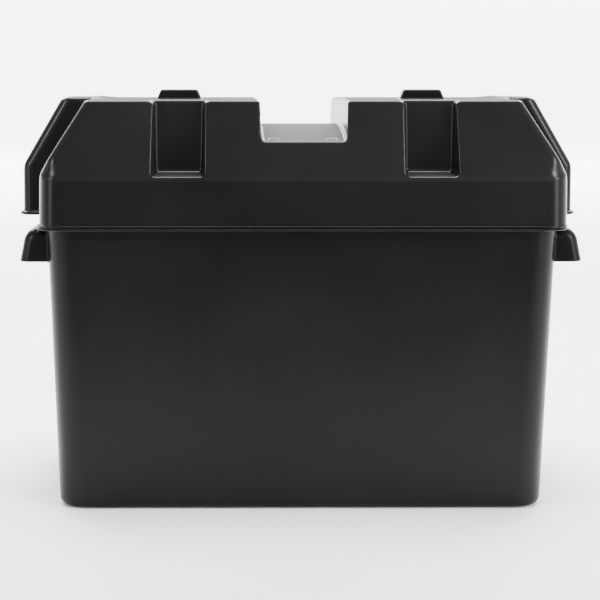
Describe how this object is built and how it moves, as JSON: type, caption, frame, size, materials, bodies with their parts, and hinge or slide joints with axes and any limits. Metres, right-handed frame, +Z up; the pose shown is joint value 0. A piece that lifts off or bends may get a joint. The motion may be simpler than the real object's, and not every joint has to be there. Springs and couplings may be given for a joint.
{
  "type": "battery box with deep cycle battery",
  "caption": "Closed black plastic box with a lift-off lid, strap channel, cable hoods and end handles, holding a twelve-volt deep cycle battery.",
  "frame": {"origin": "on the ground under the centre of the tub", "axes": "+Z up, +X along the length towards the negative terminal's end, -Y towards the side with both terminals and the lid's two lugs"},
  "size_m": [0.4068, 0.2112, 0.292],
  "materials": {
    "box_plastic": "satin moulded black polypropylene",
    "lid_plastic": "satin moulded black polypropylene",
    "case_plastic": "dark grey moulded polypropylene",
    "cover_plastic": "black moulded polypropylene",
    "vent_plastic": "black moulded",
    "handle_plastic": "black",
    "separator_sheet": "off-white porous sheet",
    "positive_plate": "brown oxide",
    "negative_plate": "grey sponge lead",
    "lead": "dull lead",
    "stainless": "satin",
    "nut_steel": "satin"
  },
  "bodies": {
    "tub": {"battery_case": "case_plastic", "battery_cover": "cover_plastic", "box_tub": "box_plastic", "cell_connector_1": "lead", "cell_connector_2": "lead", "cell_connector_3": "lead", "cell_connector_4": "lead", "cell_connector_5": "lead", "handle_bracket_left_back": "handle_plastic", "handle_bracket_left_front": "handle_plastic", "handle_bracket_right_back": "handle_plastic", "handle_bracket_right_front": "handle_plastic", "negative_plates_1": "negative_plate", "negative_plates_2": "negative_plate", "negative_plates_3": "negative_plate", "negative_plates_4": "negative_plate", "negative_plates_5": "negative_plate", "negative_plates_6": "negative_plate", "negative_post": "lead", "negative_stud": "stainless", "negative_washer": "stainless", "positive_plates_1": "positive_plate", "positive_plates_2": "positive_plate", "positive_plates_3": "positive_plate", "positive_plates_4": "positive_plate", "positive_plates_5": "positive_plate", "positive_plates_6": "positive_plate", "positive_post": "lead", "positive_stud": "stainless", "positive_washer": "stainless", "separator_1": "separator_sheet", "separator_2": "separator_sheet", "separator_3": "separator_sheet", "separator_4": "separator_sheet", "separator_5": "separator_sheet", "separator_6": "separator_sheet"},
    "lid": {"box_lid": "lid_plastic"},
    "vent_cap_1": {"vent_cap_1": "vent_plastic"},
    "vent_cap_2": {"vent_cap_2": "vent_plastic"},
    "vent_cap_3": {"vent_cap_3": "vent_plastic"},
    "vent_cap_4": {"vent_cap_4": "vent_plastic"},
    "vent_cap_5": {"vent_cap_5": "vent_plastic"},
    "vent_cap_6": {"vent_cap_6": "vent_plastic"},
    "positive_wing_nut": {"positive_wing_nut": "nut_steel"},
    "negative_wing_nut": {"negative_wing_nut": "nut_steel"},
    "battery_handle_left": {"battery_handle_left": "handle_plastic"},
    "battery_handle_right": {"battery_handle_right": "handle_plastic"}
  },
  "joints": [
    {"name": "lid_lift", "type": "slide", "parent": "tub", "child": "lid", "axis": [0, 0, 1], "range_m": [0, 0.12]},
    {"name": "vent_cap_1_pull", "type": "slide", "parent": "tub", "child": "vent_cap_1", "axis": [0, 0, 1], "range_m": [0, 0.025]},
    {"name": "vent_cap_2_pull", "type": "slide", "parent": "tub", "child": "vent_cap_2", "axis": [0, 0, 1], "range_m": [0, 0.025]},
    {"name": "vent_cap_3_pull", "type": "slide", "parent": "tub", "child": "vent_cap_3", "axis": [0, 0, 1], "range_m": [0, 0.025]},
    {"name": "vent_cap_4_pull", "type": "slide", "parent": "tub", "child": "vent_cap_4", "axis": [0, 0, 1], "range_m": [0, 0.025]},
    {"name": "vent_cap_5_pull", "type": "slide", "parent": "tub", "child": "vent_cap_5", "axis": [0, 0, 1], "range_m": [0, 0.025]},
    {"name": "vent_cap_6_pull", "type": "slide", "parent": "tub", "child": "vent_cap_6", "axis": [0, 0, 1], "range_m": [0, 0.025]},
    {"name": "positive_wing_nut_turn", "type": "hinge", "parent": "tub", "child": "positive_wing_nut", "pos_m": [-0.13583, -0.062, 0.23], "axis": [0, 0, 1], "continuous": true},
    {"name": "negative_wing_nut_turn", "type": "hinge", "parent": "tub", "child": "negative_wing_nut", "pos_m": [0.13583, -0.062, 0.23], "axis": [0, 0, 1], "continuous": true},
    {"name": "battery_handle_left_hinge", "type": "hinge", "parent": "tub", "child": "battery_handle_left", "pos_m": [-0.152, 0, 0.2202], "axis": [0, -1, 0], "range_deg": [0, 75]},
    {"name": "battery_handle_right_hinge", "type": "hinge", "parent": "tub", "child": "battery_handle_right", "pos_m": [0.152, 0, 0.2202], "axis": [0, 1, 0], "range_deg": [0, 75]}
  ]
}
